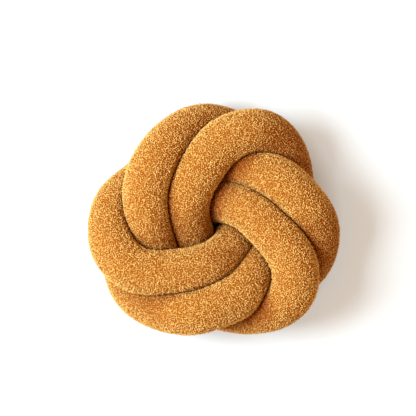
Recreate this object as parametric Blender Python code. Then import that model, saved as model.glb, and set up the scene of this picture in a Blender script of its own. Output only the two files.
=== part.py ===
"""Knot cushion: one closed, stuffed tube of looped cloth, knotted flat in two layers.

The tube winds four times round the middle before it meets its own start. It does that in three
like laps, each a third of a turn further on than the one before. A lap comes up at the rim, runs
over the face to the middle, dives, runs out again underneath, comes up at the rim once more, runs
over the face beside the lap before, and dives there. It is stuffed so full that the passes press
flat against each other, which draws the knot's creases. The cushion lies on its back, face up.

Metres, +Z up. The origin is on the surface that it lies on, under the middle of its outline.
"""

import bpy
import numpy as np

CM = 0.01

# The tube and its two layers.
TUBE_RADIUS = 3.55 * CM
LOW_CENTRE = 3.25 * CM
HIGH_CENTRE = 9.5 * CM
CREASE_GAP = 0.08 * CM

# Two points of the centreline this near each other count as one.
SAME_PLACE = 0.2 * CM

# How sharply a round flank turns into a pressed one: a higher number is a crisper edge.
CREASE_SHARPNESS = 12

# Where each pass comes up at the rim, in degrees counter-clockwise from +X seen from above. The
# tube goes from one to the next, so the angles count on through its four turns. Inner and outer
# passes take turns: an inner one, then the outer one of the same lap.
RIM_ANGLES = (31.0, 333.0, 514.0, 806.0, 1002.0, 1289.0)
TURNS = 4

# The route of the inner and the outer passes. A row for each key point: how far the tube has
# turned since the rim, in degrees, how far its centreline is from the swirl's middle on each of
# the three laps, in centimetres, and its level, from 0 in the lower layer to 1 in the upper one.
# The outer pass of lap 1 dives deeper than the other two, by the amount in its last column.
# Each pass is stretched a little to end where the next begins, nominally after INNER_TURN or
# OUTER_TURN degrees.
COLUMNS = ("turn", "lap 1", "lap 2", "lap 3", "level", "lap 1 dip")
INNER_TURN = 294.0
INNER_PASS = (
    (0, 12.6, 12.4, 12.6, 0.12),
    (14, 14.1, 14.1, 13.8, 0.36),
    (28, 14.6, 14.7, 14.7, 0.68),
    (42, 13.2, 14.5, 14.2, 0.93),
    (58, 10.4, 12.5, 11.4, 1.00),
    (78, 7.4, 9.0, 7.7, 0.98),
    (108, 5.1, 6.2, 5.2, 0.82),
    (150, 3.8, 4.5, 3.8, 0.45),
    (190, 4.1, 4.0, 3.7, 0.14),
    (220, 5.3, 5.0, 5.1, 0.02),
    (242, 7.1, 7.1, 7.3, 0.00),
    (260, 9.7, 9.7, 10.0, 0.00),
    (277, 12.3, 12.2, 12.7, 0.00),
)
OUTER_TURN = 186.0
OUTER_PASS = (
    (0, 14.2, 13.6, 14.4, 0.10, 0.00),
    (14, 14.7, 13.9, 14.8, 0.38, 0.00),
    (28, 14.2, 13.2, 14.1, 0.72, 0.00),
    (46, 12.3, 12.0, 12.9, 0.98, 0.00),
    (66, 10.6, 10.6, 11.3, 0.98, 0.04),
    (88, 9.2, 9.4, 10.2, 0.82, 0.15),
    (110, 8.4, 9.0, 8.7, 0.46, 0.17),
    (132, 9.4, 9.8, 9.5, 0.10, 0.05),
    (152, 10.5, 10.9, 10.5, 0.00, 0.00),
    (170, 11.3, 11.5, 11.4, 0.00, 0.00),
)

# The mesh: rings along the tube, and sides round it.
RINGS = 230
SIDES = 24
SAMPLES = 920

CLOTH_COLOUR = (0.64, 0.30, 0.07, 1.0)
CLOTH_ROUGHNESS = 0.95


def clear_scene():
    """Take every object out of the scene."""
    for thing in list(bpy.data.objects):
        bpy.data.objects.remove(thing, do_unlink=True)


def key_points():
    """The key points of all six passes, in order along the tube."""
    ends = RIM_ANGLES[1:] + (RIM_ANGLES[0] + 360.0 * TURNS,)
    points = []
    for number, (start, end) in enumerate(zip(RIM_ANGLES, ends)):
        lap = f"lap {number // 2 + 1}"
        rows, nominal_turn = (INNER_PASS, INNER_TURN) if number % 2 == 0 else (OUTER_PASS, OUTER_TURN)
        for values in rows:
            row = dict(zip(COLUMNS, values))
            angle = np.radians(start + row["turn"] * (end - start) / nominal_turn)
            radius = row[lap] * CM
            level = row["level"] - row.get(f"{lap} dip", 0.0)
            height = LOW_CENTRE + level * (HIGH_CENTRE - LOW_CENTRE)
            points.append((radius * np.cos(angle), radius * np.sin(angle), height))
    return np.array(points)


def closed_spline(keys, steps=24):
    """A dense, smooth, closed cubic curve that passes through every key point."""
    count = len(keys)
    ahead = np.roll(np.eye(count), 1, axis=1)
    weights = (4 * np.eye(count) + ahead + ahead.T) / 6
    control = np.linalg.solve(weights, keys)
    before, after, later = (np.roll(control, shift, axis=0) for shift in (1, -1, -2))
    curve = []
    for t in np.arange(steps) / steps:
        curve.append(
            (
                (1 - t) ** 3 * before
                + (3 * t**3 - 6 * t**2 + 4) * control
                + (-3 * t**3 + 3 * t**2 + 3 * t + 1) * after
                + t**3 * later
            )
            / 6
        )
    return np.stack(curve, axis=1).reshape(-1, 3)


def evenly_spaced(curve, count):
    """`count` points at equal steps along a closed curve."""
    closed = np.vstack([curve, curve[:1]])
    lengths = np.linalg.norm(np.diff(closed, axis=0), axis=1)
    travelled = np.concatenate([[0.0], np.cumsum(lengths)])
    wanted = np.arange(count) * travelled[-1] / count
    return np.stack([np.interp(wanted, travelled, closed[:, axis]) for axis in range(3)], axis=1)


def ring_directions(centres):
    """Unit vectors from each ring's centre to its sides, square to the centreline."""
    along = np.roll(centres, -1, axis=0) - np.roll(centres, 1, axis=0)
    along /= np.linalg.norm(along, axis=1, keepdims=True)
    side = np.cross(along, (0.0, 0.0, 1.0))
    side /= np.linalg.norm(side, axis=1, keepdims=True)
    up = np.cross(side, along)
    angles = 2 * np.pi * (np.arange(SIDES) + 0.5) / SIDES
    return (
        np.cos(angles)[None, :, None] * side[:, None, :]
        + np.sin(angles)[None, :, None] * up[:, None, :]
    )


def pressed_reach(centre, directions, line):
    """How far the tube reaches along each direction before it meets itself.

    Where two passes press on each other, the cloth lies halfway between their centrelines. The
    same rule, used on the centreline's own near points, keeps the inside of a bend from folding.
    """
    to_line = line - centre
    distance = np.linalg.norm(to_line, axis=1)
    apart = distance > SAME_PLACE
    to_line = to_line[apart]
    distance = distance[apart]
    gap = np.where(distance > TUBE_RADIUS, CREASE_GAP, 0.0)
    facing = np.maximum(directions @ to_line.T, 1e-6)
    room = distance * (distance - gap) / (2 * facing)
    return room.min(axis=1)


def tube_rings(centres, line):
    """The points of every ring, pressed against the other passes and flat on the surface."""
    directions = ring_directions(centres)
    rings = []
    for centre, spokes in zip(centres, directions):
        room = pressed_reach(centre, spokes, line)
        power = CREASE_SHARPNESS
        reach = (TUBE_RADIUS**-power + room**-power) ** (-1 / power)
        points = centre + spokes * reach[:, None]
        points[:, 2] = np.maximum(points[:, 2], 0.0)
        rings.append(points)
    return np.array(rings)


def centred(rings):
    """The rings moved sideways, so that the middle of the outline is over the origin."""
    lowest = rings.min(axis=(0, 1))
    highest = rings.max(axis=(0, 1))
    middle = (lowest + highest) / 2
    return rings - (middle[0], middle[1], 0.0)


def tube_mesh(name, rings):
    """Join the rings into one closed skin whose faces point outwards."""
    count, sides = rings.shape[:2]
    faces = []
    for ring in range(count):
        following = (ring + 1) % count
        for side in range(sides):
            beside = (side + 1) % sides
            faces.append(
                (
                    ring * sides + side,
                    following * sides + side,
                    following * sides + beside,
                    ring * sides + beside,
                )
            )
    mesh = bpy.data.meshes.new(name)
    mesh.from_pydata(rings.reshape(-1, 3).tolist(), [], faces)
    mesh.update()
    mesh.shade_smooth()
    return mesh


def cloth_material():
    """Matt mustard-orange looped cloth."""
    material = bpy.data.materials.new("looped_cloth")
    material.use_nodes = True
    shader = material.node_tree.nodes["Principled BSDF"]
    shader.inputs["Base Color"].default_value = CLOTH_COLOUR
    shader.inputs["Roughness"].default_value = CLOTH_ROUGHNESS
    shader.inputs["Metallic"].default_value = 0.0
    material.diffuse_color = CLOTH_COLOUR
    return material


def build_cushion():
    """The whole cushion is this one tube."""
    curve = closed_spline(key_points())
    line = evenly_spaced(curve, SAMPLES)
    centres = line[:: SAMPLES // RINGS]
    rings = centred(tube_rings(centres, line))
    mesh = tube_mesh("knot_tube", rings)
    mesh.materials.append(cloth_material())
    cushion = bpy.data.objects.new("knot_tube", mesh)
    bpy.context.scene.collection.objects.link(cushion)
    return cushion


clear_scene()
build_cushion()
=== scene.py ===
# %% [markdown]
# # A knot cushion in looped cloth
# This lesson dresses the plain solid of a knot cushion. On the real thing, one long tube of
# looped, curly cloth is stuffed hard, closed into a ring, and knotted flat in two layers. The
# solid gives the size and the place. Here we make the cloth, its tens of thousands of little loops
# of yarn, the light and the camera. Before each step we look at what the real piece is, how it
# could be made, and why we chose one way.
#
# ## 1. Load the solid
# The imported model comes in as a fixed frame. We keep its box, because the finished cushion must
# fill the same space.

import bpy
import numpy as np
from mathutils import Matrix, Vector, noise


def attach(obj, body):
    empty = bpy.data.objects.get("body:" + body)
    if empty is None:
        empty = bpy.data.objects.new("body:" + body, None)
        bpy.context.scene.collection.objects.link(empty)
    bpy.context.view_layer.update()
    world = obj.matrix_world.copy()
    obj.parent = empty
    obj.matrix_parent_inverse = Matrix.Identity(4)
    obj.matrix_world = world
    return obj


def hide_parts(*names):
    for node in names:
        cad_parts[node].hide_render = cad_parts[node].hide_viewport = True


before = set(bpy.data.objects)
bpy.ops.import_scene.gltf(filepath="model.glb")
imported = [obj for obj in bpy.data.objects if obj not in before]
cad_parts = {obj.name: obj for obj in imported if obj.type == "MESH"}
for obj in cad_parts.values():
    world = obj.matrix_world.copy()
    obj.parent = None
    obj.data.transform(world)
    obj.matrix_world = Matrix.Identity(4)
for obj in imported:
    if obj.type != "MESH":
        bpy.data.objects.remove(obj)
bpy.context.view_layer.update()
CM = 0.01
MM = 0.001


# %% [markdown]
# ## 2. Work out where the tube runs
# The cushion's whole shape follows from one line: the middle of the tube. It turns four times
# round the knot. Three inner passes run close to the middle, three outer passes run round them,
# and they take turns, so an inner pass and the outer pass after it make one lap. We could draw
# such a line by hand with a Bezier curve, but a table is easier to correct. Each row says how far
# the tube has turned since it came up at the rim, how far out it is on each of the three laps, in
# centimetres, and its level, from 0 in the lower layer to 1 in the upper one. The outer pass of
# lap 1 dives deeper than the others, by the amount in its last column.

# %% The route's tables
RIM_ANGLES = (31.0, 333.0, 514.0, 806.0, 1002.0, 1289.0)
LAPS = 3
TURNS = 4
LOW_CENTRE = 3.25 * CM
HIGH_CENTRE = 9.5 * CM
SWIRL_MIDDLE = (0.097 * CM, -0.676 * CM)
COLUMNS = ("turn", "lap 1", "lap 2", "lap 3", "level", "lap 1 dip")
INNER_TURN = 294.0
INNER_PASS = (
    (0, 12.6, 12.4, 12.6, 0.12),
    (14, 14.1, 14.1, 13.8, 0.36),
    (28, 14.6, 14.7, 14.7, 0.68),
    (42, 13.2, 14.5, 14.2, 0.93),
    (58, 10.4, 12.5, 11.4, 1.00),
    (78, 7.4, 9.0, 7.7, 0.98),
    (108, 5.1, 6.2, 5.2, 0.82),
    (150, 3.8, 4.5, 3.8, 0.45),
    (190, 4.1, 4.0, 3.7, 0.14),
    (220, 5.3, 5.0, 5.1, 0.02),
    (242, 7.1, 7.1, 7.3, 0.00),
    (260, 9.7, 9.7, 10.0, 0.00),
    (277, 12.3, 12.2, 12.7, 0.00),
)
OUTER_TURN = 186.0
OUTER_PASS = (
    (0, 14.2, 13.6, 14.4, 0.10, 0.00),
    (14, 14.7, 13.9, 14.8, 0.38, 0.00),
    (28, 14.2, 13.2, 14.1, 0.72, 0.00),
    (46, 12.3, 12.0, 12.9, 0.98, 0.00),
    (66, 10.6, 10.6, 11.3, 0.98, 0.04),
    (88, 9.2, 9.4, 10.2, 0.82, 0.15),
    (110, 8.4, 9.0, 8.7, 0.46, 0.17),
    (132, 9.4, 9.8, 9.5, 0.10, 0.05),
    (152, 10.5, 10.9, 10.5, 0.00, 0.00),
    (170, 11.3, 11.5, 11.4, 0.00, 0.00),
)


def key_points():
    """The key points of all six passes, in order along the tube."""
    ends = RIM_ANGLES[1:] + (RIM_ANGLES[0] + 360.0 * TURNS,)
    points = []
    for number, (start, end) in enumerate(zip(RIM_ANGLES, ends)):
        lap = f"lap {number // 2 + 1}"
        inner = number % 2 == 0
        nominal_turn = INNER_TURN if inner else OUTER_TURN
        for values in INNER_PASS if inner else OUTER_PASS:
            row = dict(zip(COLUMNS, values))
            angle = np.radians(start + row["turn"] * (end - start) / nominal_turn)
            radius = row[lap] * CM
            level = row["level"] - row.get(f"{lap} dip", 0.0)
            height = LOW_CENTRE + level * (HIGH_CENTRE - LOW_CENTRE)
            points.append((radius * np.cos(angle), radius * np.sin(angle), height))
    return np.array(points) + (*SWIRL_MIDDLE, 0.0)


keys = key_points()
print(len(keys), "key points in", len(RIM_ANGLES), "passes")

# %% [markdown]
# ## 3. Turn the key points into one smooth, even line
# A cubic spline through the key points bends the way a stuffed tube does, without corners. We then
# lay points along it at equal steps, so that every later ring of cloth is as long as the next.

# %% The smooth line
LINE_POINTS = 920


def closed_spline(points, steps=24):
    """A dense, smooth, closed cubic curve that passes through every point."""
    ahead = np.roll(np.eye(len(points)), 1, axis=1)
    weights = (4 * np.eye(len(points)) + ahead + ahead.T) / 6
    control = np.linalg.solve(weights, points)
    before, after, later = (np.roll(control, shift, axis=0) for shift in (1, -1, -2))
    curve = []
    for t in np.arange(steps) / steps:
        start = (1 - t) ** 3 * before + (3 * t**3 - 6 * t**2 + 4) * control
        end = (-3 * t**3 + 3 * t**2 + 3 * t + 1) * after + t**3 * later
        curve.append((start + end) / 6)
    return np.stack(curve, axis=1).reshape(-1, 3)


def evenly_spaced(curve, count):
    """Points at equal steps along a closed curve, and the curve's length."""
    closed = np.vstack([curve, curve[:1]])
    lengths = np.linalg.norm(np.diff(closed, axis=0), axis=1)
    travelled = np.concatenate([[0.0], np.cumsum(lengths)])
    wanted = np.arange(count) * travelled[-1] / count
    points = [np.interp(wanted, travelled, closed[:, axis]) for axis in range(3)]
    return np.stack(points, axis=1), travelled[-1]


line, tube_length = evenly_spaced(closed_spline(keys), LINE_POINTS)
print("the tube is", round(tube_length, 3), "m long")

# %% Where each pass begins on the line
rows_before = np.cumsum([0] + [len(INNER_PASS), len(OUTER_PASS)] * LAPS)[:-1]
pass_starts = [int(np.linalg.norm(line - keys[row], axis=1).argmin()) for row in rows_before]
print("passes begin at line points", pass_starts)

# %% [markdown]
# ## 4. Draw the round tube
# A curve with a round bevel is the quickest tube there is: Blender lays the circles and joins
# them. We keep the circles upright with the Z_UP twist, and convert the curve to a mesh, because
# the next step moves its points one by one.

# %% Two small helpers
def select_only(thing):
    """Make one object the selected and active one, as a click on it does."""
    bpy.ops.object.select_all(action="DESELECT")
    thing.select_set(True)
    bpy.context.view_layer.objects.active = thing


def points_of(mesh):
    """A mesh's points as an array with a row for each."""
    points = np.empty(len(mesh.vertices) * 3)
    mesh.vertices.foreach_get("co", points)
    return points.reshape(-1, 3)


print("helpers ready")

# %% The round tube
TUBE_RADIUS = 3.55 * CM
TUBE_SIDES = 68


def round_tube(name, points, radius, sides):
    """A closed mesh tube round a closed line. A bevel resolution of n gives 2n + 4 sides."""
    curve = bpy.data.curves.new(name, "CURVE")
    curve.dimensions = "3D"
    curve.twist_mode = "Z_UP"
    curve.bevel_depth = radius
    curve.bevel_resolution = sides // 2 - 2
    spline = curve.splines.new("POLY")
    spline.points.add(len(points) - 1)
    spline.points.foreach_set("co", np.column_stack([points, np.ones(len(points))]).ravel())
    spline.use_cyclic_u = True
    tube = bpy.data.objects.new(name, curve)
    bpy.context.scene.collection.objects.link(tube)
    select_only(tube)
    bpy.ops.object.convert(target="MESH")
    bpy.ops.object.shade_smooth()
    return bpy.context.view_layer.objects.active


skin = round_tube("cushion_skin", line, TUBE_RADIUS, TUBE_SIDES)
print("round tube:", len(skin.data.vertices), "points", len(skin.data.polygons), "faces")

# %% [markdown]
# ## 5. Press the passes against each other
# A round tube would run straight through itself where two passes meet. Stuffed cloth gives way
# instead: both passes flatten until they meet halfway, which draws the knot's dark creases. Cloth
# simulation is the usual way to find such flats. On this knot, short trials threw the tube out of
# shape: blown up, it grew longer as well as thicker, and with the full tube as its rest shape it
# sagged. The rule behind the flats is short, so we use it as it is: from the tube's middle, a
# point may go outwards until it is as near to another pass's middle as to its own, less half a
# gap. Low points stop at the surface that the cushion lies on.

# %% How far the cloth may reach
CREASE_GAP = 0.08 * CM
SAME_PLACE = 0.2 * CM
ALMOST_ZERO = 1e-6


def room_along(centre, spokes):
    """How far a ring may reach along each spoke before it meets the tube elsewhere."""
    to_line = line - centre
    distance = np.linalg.norm(to_line, axis=1)
    apart = distance > SAME_PLACE
    to_line, distance = to_line[apart], distance[apart]
    gap = np.where(distance > TUBE_RADIUS, CREASE_GAP, 0.0)
    facing = np.maximum(spokes @ to_line.T, ALMOST_ZERO)
    return (distance * (distance - gap) / (2 * facing)).min(axis=1)


print("the gap in a crease is", round(CREASE_GAP / MM, 2), "mm")

# %% Lumps of stuffing
LUMP_HEIGHT = 0.5 * MM
BROAD_LUMPS = 24.0
SMALL_LUMPS = 60.0
SMALL_SHARE = 0.5


def unevenness(point):
    """A soft lump or hollow of the stuffing, from about -1 to 1."""
    broad = noise.noise(Vector(point) * BROAD_LUMPS)
    small = noise.noise(Vector(point) * SMALL_LUMPS)
    return broad + SMALL_SHARE * small


print("the stuffing's lumps are up to about", round(LUMP_HEIGHT / MM, 2), "mm high")

# %% Press the tube
CREASE_SHARPNESS = 12
PILE_ROOM = 1.5 * MM
rings = points_of(skin.data).reshape(LINE_POINTS, -1, 3)
openness = np.empty(rings.shape[:2])
for number, (centre, ring) in enumerate(zip(line, rings)):
    spokes = (ring - centre) / TUBE_RADIUS
    lumps = np.array([unevenness(point) for point in ring])
    wanted = TUBE_RADIUS - PILE_ROOM + LUMP_HEIGHT * lumps
    room = room_along(centre, spokes)
    reach = (wanted**-CREASE_SHARPNESS + room**-CREASE_SHARPNESS) ** (-1 / CREASE_SHARPNESS)
    ring[:] = centre + spokes * reach[:, None]
    openness[number] = room - reach
rings[:, :, 2] = np.maximum(rings[:, :, 2], 0.0)
skin.data.vertices.foreach_set("co", rings.ravel())
skin.data.update()
print("the skin reaches up to", round(rings[:, :, 2].max() / CM, 2), "cm")

# %% [markdown]
# ## 6. Say where the loops grow
# The cloth is covered with loops of yarn, but where two passes press together nobody sees them,
# and they would only fill up the crease. So each point of the skin keeps a number, from 0 in a
# pressed flat to 1 in the open. A second number is painted shade: how much darker the colour is
# painted in a crease, and as a painted shadow beside a higher pass on the lamp's side. The shade
# there is deeper in the photograph than one lamp and a glow from all sides make it, so painted
# shade adds to it. Each face keeps the number of its pass. Such numbers are called attributes, and
# the later nodes read them.

# %% Where the cloth is open
PRESSED_BELOW = 0.1 * MM
OPEN_ABOVE = 0.5 * MM
BARE_HEIGHT = 0.2 * MM
FLOOR_FADE = 1.5 * MM


def keep_attribute(mesh, name, kind, domain, values):
    """Store an array of numbers on a mesh under a name."""
    mesh.attributes.new(name, kind, domain).data.foreach_set("value", values.ravel())


grows = np.clip((openness - PRESSED_BELOW) / (OPEN_ABOVE - PRESSED_BELOW), 0.0, 1.0)
grows *= np.clip((rings[:, :, 2] - BARE_HEIGHT) / FLOOR_FADE, 0.0, 1.0)
keep_attribute(skin.data, "grows", "FLOAT", "POINT", grows)
print("loops grow on", round(100 * grows.mean()), "% of the skin's points")

# %% Painted shade in creases, and painted shadows of higher passes
PAINTED_CREASE_SHADE = 0.6
CREASE_WIDTH = 5.0 * MM
SHADOW_WIDTH_PER_RISE = 2.6
WIDEST_PAINTED_SHADOW = 3.8 * CM
TO_LIGHT = np.array([-0.90, 0.43])
PAINTED_SHADOW_ALL_ROUND = 0.15


def painted_shadow_of_higher(centre, ring):
    """How much painted shadow of a higher pass each point of a ring gets, from 0 to 1.

    A higher pass towards the lamp counts in full, and one on the far side only a little.
    """
    rise = line[:, 2] - centre[2]
    higher = (rise > 0.0) & (np.linalg.norm(line - centre, axis=1) > TUBE_RADIUS)
    if not higher.any():
        return np.zeros(len(ring))
    width = np.minimum(SHADOW_WIDTH_PER_RISE * rise[higher], WIDEST_PAINTED_SHADOW)
    to_higher = line[None, higher] - ring[:, None]
    away = np.linalg.norm(to_higher, axis=2)
    nearness = np.clip(1.0 - (away - TUBE_RADIUS) / width, 0.0, 1.0)
    in_the_way = np.clip(to_higher[:, :, :2] @ TO_LIGHT / away, 0.0, 1.0)
    strength = PAINTED_SHADOW_ALL_ROUND + (1.0 - PAINTED_SHADOW_ALL_ROUND) * in_the_way
    return (nearness * strength).max(axis=1)


# Painted shadow beside higher passes and painted shade in creases; the shaders darken the colour
# by it.
painted_cast_shadow = np.array([painted_shadow_of_higher(*pair) for pair in zip(line, rings)])
painted_crease_shade = PAINTED_CREASE_SHADE * np.clip(1.0 - openness / CREASE_WIDTH, 0.0, 1.0)
painted_shade = np.maximum(painted_cast_shadow, painted_crease_shade)
keep_attribute(skin.data, "painted_shade", "FLOAT", "POINT", painted_shade)
print("half sheltered or more:", round(100 * (painted_shade >= 0.5).mean()), "% of the skin's points")

# %% Which pass each face belongs to
corners = np.empty(len(skin.data.loops), dtype=np.int32)
skin.data.loops.foreach_get("vertex_index", corners)
corner_rings = corners.reshape(-1, 4) // TUBE_SIDES
first, last = corner_rings.min(axis=1), corner_rings.max(axis=1)
face_ring = np.where(last - first > 1, last, first)
face_pass = np.searchsorted(pass_starts, face_ring, side="right").astype(np.int32)
keep_attribute(skin.data, "pass", "INT", "FACE", face_pass)
print("faces in each pass:", np.bincount(face_pass)[1:])

# %% [markdown]
# ## 7. Model one loop of yarn
# Looped cloth is knitted with a yarn that is full of curls. One curl is a short arch of yarn with
# both feet in the cloth. There will be tens of thousands of them, so one has only a few faces: a
# triangle, spun round an axis in three rings, is enough for something 3 to 5 mm across.

# %% One loop
YARN_RADIUS = 0.88 * MM
LOOP_RADIUS = 1.05 * MM
LOOP_ANGLE = 205.0
LOOP_STEPS = 2

bpy.ops.object.select_all(action="DESELECT")
bpy.ops.mesh.primitive_circle_add(
    vertices=3, radius=YARN_RADIUS, fill_type="NGON", location=(LOOP_RADIUS, 0.0, 0.0)
)
loop = bpy.context.view_layer.objects.active
loop.name = "one_loop"
bpy.ops.object.transform_apply(location=True, rotation=True, scale=True)
bpy.ops.object.mode_set(mode="EDIT")
bpy.ops.mesh.select_all(action="SELECT")
bpy.ops.mesh.spin(
    steps=LOOP_STEPS, angle=np.radians(LOOP_ANGLE), center=(0.0, 0.0, 0.0), axis=(0.0, 1.0, 0.0)
)
bpy.ops.mesh.select_all(action="SELECT")
bpy.ops.mesh.remove_doubles(threshold=ALMOST_ZERO)
bpy.ops.mesh.normals_make_consistent(inside=False)
bpy.ops.object.mode_set(mode="OBJECT")
bpy.ops.object.shade_smooth()
loop.data.calc_loop_triangles()
print("one loop:", len(loop.data.loop_triangles), "triangles")

# %% [markdown]
# ## 8. Scatter the loops with Geometry Nodes
# Placing them by hand is out of the question. Geometry Nodes scatter points over the skin, never
# closer to each other than a loop needs, put the loop on each point, and turn, tilt and scale each
# one by chance. A seed makes the chance the same each time. The nodes end by making the copies
# real, and the modifier is applied, one pass of the tube at a time, so that no piece grows too
# heavy. First come helpers that add nodes, so that each later line reads as one node.

# %% Helpers that add nodes
def linked(tree, kind, settings=(), **inputs):
    """Add a node, set its properties, and fill its inputs with values or other nodes' outputs.

    An input goes by Blender's name for it, with an underscore for a space, or by i0, i1 and so on
    for its place in the list.
    """
    made = tree.nodes.new(kind)
    for name, value in dict(settings).items():
        setattr(made, name, value)
    for name, value in inputs.items():
        by_place = name[1:].isdigit()
        socket = made.inputs[int(name[1:])] if by_place else made.inputs[name.replace("_", " ")]
        if isinstance(value, bpy.types.NodeSocket):
            tree.links.new(value, socket)
        else:
            socket.default_value = value
    return made


def chance(tree, lowest, highest, seed):
    """A number that differs from loop to loop."""
    kind = {"data_type": "FLOAT"}
    made = linked(tree, "FunctionNodeRandomValue", kind, i2=lowest, i3=highest, Seed=seed)
    return made.outputs[1]


def named(tree, name, kind):
    """The number that each point or face of the mesh keeps under a name."""
    made = linked(tree, "GeometryNodeInputNamedAttribute", {"data_type": kind}, Name=name)
    return made.outputs["Attribute"]


def kept(tree, geometry, name, domain, value):
    """The geometry with a number kept on each of its parts under a name."""
    kind = {"data_type": "FLOAT", "domain": domain}
    made = linked(
        tree, "GeometryNodeStoreNamedAttribute", kind, Geometry=geometry, Name=name, Value=value
    )
    return made.outputs["Geometry"]


print("helpers for nodes ready")

# %% Points on one pass of the skin
LOOP_SPACING = 1.93 * MM
LOOP_DENSITY = 1.2e6


def scattered_points(tree, pass_number):
    """The node that scatters points over one pass, where loops grow."""
    cloth = linked(tree, "NodeGroupInput").outputs["Geometry"]
    same = {"data_type": "INT", "operation": "EQUAL"}
    own_pass = named(tree, "pass", "INT")
    chosen = linked(tree, "FunctionNodeCompare", same, i2=own_pass, i3=pass_number)
    return linked(
        tree,
        "GeometryNodeDistributePointsOnFaces",
        {"distribute_method": "POISSON"},
        Mesh=cloth,
        Selection=chosen.outputs["Result"],
        Distance_Min=LOOP_SPACING,
        Density_Max=LOOP_DENSITY,
        Density_Factor=named(tree, "grows", "FLOAT"),
        Seed=pass_number,
    )


print("at most about", int(1 / LOOP_SPACING**2), "loops on a square metre")

# %% Sink or raise each point
LOOP_SINK = 0.8 * MM
LOOP_RISE = 0.35 * MM
DEPTH_SEED = 40


def at_depths(tree, points, pass_number):
    """The points, each a little in or out of the cloth, with its height kept, from 0 to 1."""
    depth = chance(tree, -LOOP_SINK, LOOP_RISE, DEPTH_SEED + pass_number)
    outwards = points.outputs["Normal"]
    lift = linked(tree, "ShaderNodeVectorMath", {"operation": "SCALE"}, i0=outwards, Scale=depth)
    placed = linked(
        tree,
        "GeometryNodeSetPosition",
        Geometry=points.outputs["Points"],
        Offset=lift.outputs[0],
    )
    height = linked(
        tree, "ShaderNodeMapRange", Value=depth, From_Min=-LOOP_SINK, From_Max=LOOP_RISE
    )
    return kept(tree, placed.outputs["Geometry"], "height", "POINT", height.outputs["Result"])


print("loops stand within", round((LOOP_SINK + LOOP_RISE) / MM, 2), "mm of each other in height")

# %% Turn each loop its own way
TILT = np.radians(75.0)
LEAN = 0.3
TURN_SEED = 10


def turned_by_chance(tree, points, pass_number):
    """A rotation for each point: square to the cloth, then tilted and spun by chance."""
    turn = linked(
        tree,
        "FunctionNodeRandomValue",
        {"data_type": "FLOAT_VECTOR"},
        i0=(-TILT, -LEAN, 0.0),
        i1=(TILT, LEAN, 2 * np.pi),
        Seed=TURN_SEED + pass_number,
    )
    turn = linked(tree, "FunctionNodeEulerToRotation", Euler=turn.outputs["Value"])
    turned = linked(
        tree,
        "FunctionNodeRotateRotation",
        {"rotation_space": "LOCAL"},
        Rotation=points.outputs["Rotation"],
        Rotate_By=turn.outputs["Rotation"],
    )
    return turned.outputs["Rotation"]


print("loops tilt by up to", round(np.degrees(TILT)), "degrees")

# %% Put a loop on each point
LOOP_SIZES = (0.85, 1.2)
SIZE_SEED = 20
TONE_SEED = 30


def loop_scatter(pass_number):
    """Nodes that turn the skin into the loops of one of its passes."""
    tree = bpy.data.node_groups.new("loop_scatter", "GeometryNodeTree")
    for way in ("INPUT", "OUTPUT"):
        tree.interface.new_socket("Geometry", in_out=way, socket_type="NodeSocketGeometry")
    points = scattered_points(tree, pass_number)
    one = linked(tree, "GeometryNodeObjectInfo", Object=loop)
    copies = linked(
        tree,
        "GeometryNodeInstanceOnPoints",
        Points=at_depths(tree, points, pass_number),
        Instance=one.outputs["Geometry"],
        Rotation=turned_by_chance(tree, points, pass_number),
        Scale=chance(tree, *LOOP_SIZES, SIZE_SEED + pass_number),
    )
    tone = chance(tree, 0.0, 1.0, TONE_SEED + pass_number)
    toned = kept(tree, copies.outputs["Instances"], "tone", "INSTANCE", tone)
    real = linked(tree, "GeometryNodeRealizeInstances", Geometry=toned)
    linked(tree, "NodeGroupOutput", Geometry=real.outputs["Geometry"])
    return tree


widest = 2 * (LOOP_RADIUS + YARN_RADIUS) * LOOP_SIZES[1]
print("a loop is up to", round(widest / MM, 1), "mm across")

# %% Scatter each pass
loop_pieces = []
for pass_number in range(1, len(RIM_ANGLES) + 1):
    piece = skin.copy()
    piece.data = skin.data.copy()
    piece.name = f"loops_pass_{pass_number}"
    bpy.context.scene.collection.objects.link(piece)
    select_only(piece)
    piece.modifiers.new("scatter", "NODES").node_group = loop_scatter(pass_number)
    bpy.ops.object.modifier_apply(modifier="scatter")
    points = points_of(piece.data)
    points[:, 2] = np.maximum(points[:, 2], 0.0)
    piece.data.vertices.foreach_set("co", points.ravel())
    piece.data.update()
    loop_pieces.append(piece)
bpy.data.objects.remove(loop, do_unlink=True)
print("pieces:", [piece.name for piece in loop_pieces])

# %% Count what we added
added = 0
for piece in [skin, *loop_pieces]:
    piece.data.calc_loop_triangles()
    added += len(piece.data.loop_triangles)
    print(piece.name, len(piece.data.loop_triangles), "triangles")
print("triangles added in all:", added)

# %% [markdown]
# ## 9. Dye the yarn
# The yarn is a matt mustard orange, and no two loops took up quite the same dye. We could colour
# the whole cloth with one noise texture, but its light and dark would run across the loops instead
# of telling one from the next. So the shader also reads the numbers that the scatter left on each
# loop: its chance tone, and its height, by which loops lower in the pile get painted shade and
# loops on top stay paler. Where the skin's painted-shade number is high, in creases and beside a
# higher pass, the colour is multiplied to a warm brown: painted shade and painted shadow.

# %% Helpers for materials
def new_material(name):
    """A material, its nodes and its shader."""
    material = bpy.data.materials.new(name)
    material.use_nodes = True
    return material, material.node_tree, material.node_tree.nodes["Principled BSDF"]


def attribute(tree, name):
    """The number that the mesh keeps under a name."""
    return linked(tree, "ShaderNodeAttribute", {"attribute_name": name}).outputs["Fac"]


def mixed(tree, share, first, second, blend="MIX"):
    """Two colours mixed by a share."""
    kind = {"data_type": "RGBA", "blend_type": blend}
    return linked(tree, "ShaderNodeMix", kind, i0=share, i6=first, i7=second).outputs[2]


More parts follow.
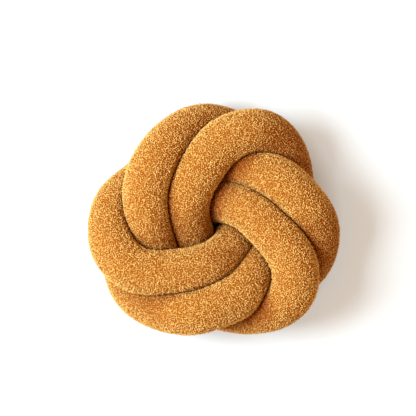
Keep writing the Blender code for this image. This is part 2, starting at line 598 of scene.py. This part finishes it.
def summed(tree, start, *terms):
    """A number plus a weighted sum: each term is a socket and its weight."""
    kind = {"operation": "MULTIPLY_ADD"}
    total = start
    for socket, weight in terms:
        total = linked(tree, "ShaderNodeMath", kind, i0=socket, i1=weight, i2=total).outputs[0]
    return total


def grain(tree, place, size, detail):
    """Soft noise: the larger the size number, the finer the grain."""
    made = linked(tree, "ShaderNodeTexNoise", Vector=place, Scale=size, Detail=detail)
    return made.outputs[0]


print("material helpers ready")

# %% The yarn
YARN_DARK = (0.39, 0.155, 0.011, 1.0)
YARN_LIGHT = (0.80, 0.55, 0.18, 1.0)
PAINTED_SHADE_COLOUR = (0.48, 0.21, 0.06, 1.0)
SHEEN = (1.0, 0.75, 0.4, 1.0)
PATCHES = 70.0
FIBRES = 2500.0
FIBRE_HEIGHT = 0.3 * MM
LIGHTNESS_START = 0.05
TONE_WEIGHT = 0.3
DEPTH_SHADE_WEIGHT = 0.7
PATCH_WEIGHT = 0.45


def yarn_material():
    """Matt yarn whose tone differs from loop to loop, with painted shade on lower loops, in
    creases and beside higher passes.
    """
    material, tree, shader = new_material("mustard_yarn")
    place = linked(tree, "ShaderNodeTexCoord").outputs["Object"]
    # Chance tone and patches are the yarn's own; the height term is painted shade that darkens
    # lower loops.
    lightness = summed(
        tree,
        LIGHTNESS_START,
        (attribute(tree, "tone"), TONE_WEIGHT),
        (attribute(tree, "height"), DEPTH_SHADE_WEIGHT),
        (grain(tree, place, PATCHES, 2.0), PATCH_WEIGHT),
    )
    dye_and_depth_shade = mixed(tree, lightness, YARN_DARK, YARN_LIGHT)
    # Painted shade: the colour is multiplied towards brown in creases and beside higher passes.
    shaded = mixed(tree, attribute(tree, "painted_shade"), dye_and_depth_shade, PAINTED_SHADE_COLOUR, "MULTIPLY")
    tree.links.new(shaded, shader.inputs["Base Color"])
    fibres = grain(tree, place, FIBRES, 1.0)
    bump = linked(tree, "ShaderNodeBump", Height=fibres, Strength=0.5, Distance=FIBRE_HEIGHT)
    tree.links.new(bump.outputs[0], shader.inputs["Normal"])
    shader.inputs["Roughness"].default_value = 0.85
    shader.inputs["Specular IOR Level"].default_value = 0.15
    shader.inputs["Sheen Weight"].default_value = 0.03
    shader.inputs["Sheen Roughness"].default_value = 0.5
    shader.inputs["Sheen Tint"].default_value = SHEEN
    return material


yarn = yarn_material()
for piece in loop_pieces:
    piece.data.materials.clear()
    piece.data.materials.append(yarn)
print(yarn.name, "on", len(loop_pieces), "pieces")

# %% [markdown]
# ## 10. Dye the knitted ground
# Between the loops one sees the knitted ground that they grow from. It is the same yarn, but it
# lies deeper, so its colour is painted darker and browner, as painted shade. Its small stitches
# are too fine to model, so a bump does them.

# %% The ground
# The ground's dark colour is painted shade; the yarn itself is the same as the loops'.
GROUND_PAINTED_DARK = (0.25, 0.085, 0.007, 1.0)
STITCHES = 600.0
STITCH_HEIGHT = 0.8 * MM


def ground_material():
    """The cloth between the loops, its colour painted darker as painted shade."""
    material, tree, shader = new_material("mustard_ground")
    place = linked(tree, "ShaderNodeTexCoord").outputs["Object"]
    stitches = grain(tree, place, STITCHES, 1.0)
    bump = linked(tree, "ShaderNodeBump", Height=stitches, Strength=0.8, Distance=STITCH_HEIGHT)
    tree.links.new(bump.outputs[0], shader.inputs["Normal"])
    # Painted shade: the same multiply towards brown in creases and beside higher passes.
    shaded = mixed(tree, attribute(tree, "painted_shade"), GROUND_PAINTED_DARK, PAINTED_SHADE_COLOUR, "MULTIPLY")
    tree.links.new(shaded, shader.inputs["Base Color"])
    shader.inputs["Roughness"].default_value = 0.95
    shader.inputs["Specular IOR Level"].default_value = 0.1
    return material


ground = ground_material()
skin.data.materials.clear()
skin.data.materials.append(ground)
print(ground.name, "on", skin.name)

# %% [markdown]
# ## 11. Set up the camera
# The picture is taken from straight above, from so far away that the cushion's sides are barely
# seen. We put a camera 3 m up and give it a long lens, so that at half the cushion's height the
# frame is as wide as the photograph's.

# %% The camera
CAMERA_PLACE = (-0.86 * CM, 1.58 * CM, 3.0)
FRAME_WIDTH = 59.8 * CM
FRAMED_HEIGHT = 7.0 * CM

eye = bpy.data.cameras.new("photo_view")
eye.lens = eye.sensor_width * (CAMERA_PLACE[2] - FRAMED_HEIGHT) / FRAME_WIDTH
camera = bpy.data.objects.new("photo_view", eye)
camera.location = CAMERA_PLACE
bpy.context.scene.collection.objects.link(camera)
bpy.context.scene.camera = camera
print("lens:", round(eye.lens, 1), "mm")

# %% [markdown]
# ## 12. Lay a pale floor
# The cushion lies on a plain pale surface. One large plane is enough. It is a little bluer than
# white, because the light that comes from all sides is warm, and the two together look white. It
# also glows faintly, like a light table for product pictures, which keeps the cushion's shadow
# pale. Under the cushion it doesn't glow, or light would come up through the knot's middle.

# %% The floor
FLOOR_SIZE = 12.0
PAPER = (0.46, 0.54, 0.62, 1.0)
GLOW = (0.75, 0.9, 1.0, 1.0)
GLOW_STARTS = 13.0 * CM
GLOW_FULL = 19.0 * CM
GLOW_STRENGTH = 0.4

bpy.ops.object.select_all(action="DESELECT")
bpy.ops.mesh.primitive_plane_add(size=FLOOR_SIZE)
floor = bpy.context.view_layer.objects.active
floor.name = "pale_floor"
paper, tree, shader = new_material("pale_paper")
shader.inputs["Base Color"].default_value = PAPER
shader.inputs["Roughness"].default_value = 0.9
place = linked(tree, "ShaderNodeTexCoord").outputs["Object"]
distance = linked(tree, "ShaderNodeVectorMath", {"operation": "LENGTH"}, i0=place)
glow_here = linked(
    tree,
    "ShaderNodeMapRange",
    Value=distance.outputs["Value"],
    From_Min=GLOW_STARTS,
    From_Max=GLOW_FULL,
    To_Max=GLOW_STRENGTH,
)
shader.inputs["Emission Color"].default_value = GLOW
tree.links.new(glow_here.outputs["Result"], shader.inputs["Emission Strength"])
floor.data.materials.append(paper)
print("floor:", tuple(round(value, 2) for value in floor.dimensions))

# %% [markdown]
# ## 13. Light it softly
# One large soft light stands on the left, about as high up as it is far out, so the passes are
# bright on their left flanks and go into shade on their right. The rest is a warm glow from all
# sides, as in a room with wooden walls, which keeps the shade orange instead of grey. The Standard
# view shows the colours as they are.

# %% The lamp
LAMP_PLACE = (-2.75, 0.2, 2.85)
LAMP_TARGET = (0.0, 0.0, 0.05)
LAMP_SIZE = 2.0
LAMP_POWER = 285.0
LAMP_COLOUR = (0.96, 1.0, 1.0)

light = bpy.data.lights.new("key_light", "AREA")
light.shape = "SQUARE"
light.size = LAMP_SIZE
light.energy = LAMP_POWER
light.color = LAMP_COLOUR
lamp = bpy.data.objects.new("key_light", light)
lamp.location = LAMP_PLACE
towards = Vector(LAMP_TARGET) - Vector(LAMP_PLACE)
lamp.rotation_euler = towards.to_track_quat("-Z", "Y").to_euler()
bpy.context.scene.collection.objects.link(lamp)
print("the lamp is", round(towards.length, 1), "m away")

# %% The glow of the room
ROOM_COLOUR = (1.0, 0.52, 0.20, 1.0)
ROOM_STRENGTH = 0.9

room = bpy.data.worlds.new("warm_room")
room.use_nodes = True
background = room.node_tree.nodes["Background"]
background.inputs["Color"].default_value = ROOM_COLOUR
background.inputs["Strength"].default_value = ROOM_STRENGTH
bpy.context.scene.world = room
bpy.context.scene.view_settings.view_transform = "Standard"
print("the room glows at", ROOM_STRENGTH)

# %% [markdown]
# ## 14. Tie the pieces to the solid
# The skin and the loops lie still, so they ride on the one body there is. The skin stands for the
# plain solid, which is then hidden. All pieces take their finish from the looped cloth.

# %% Tie the pieces
for piece in [skin, *loop_pieces]:
    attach(piece, "root")
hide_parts("knot_tube")
print("pieces:", [piece.name for piece in [skin, *loop_pieces]])
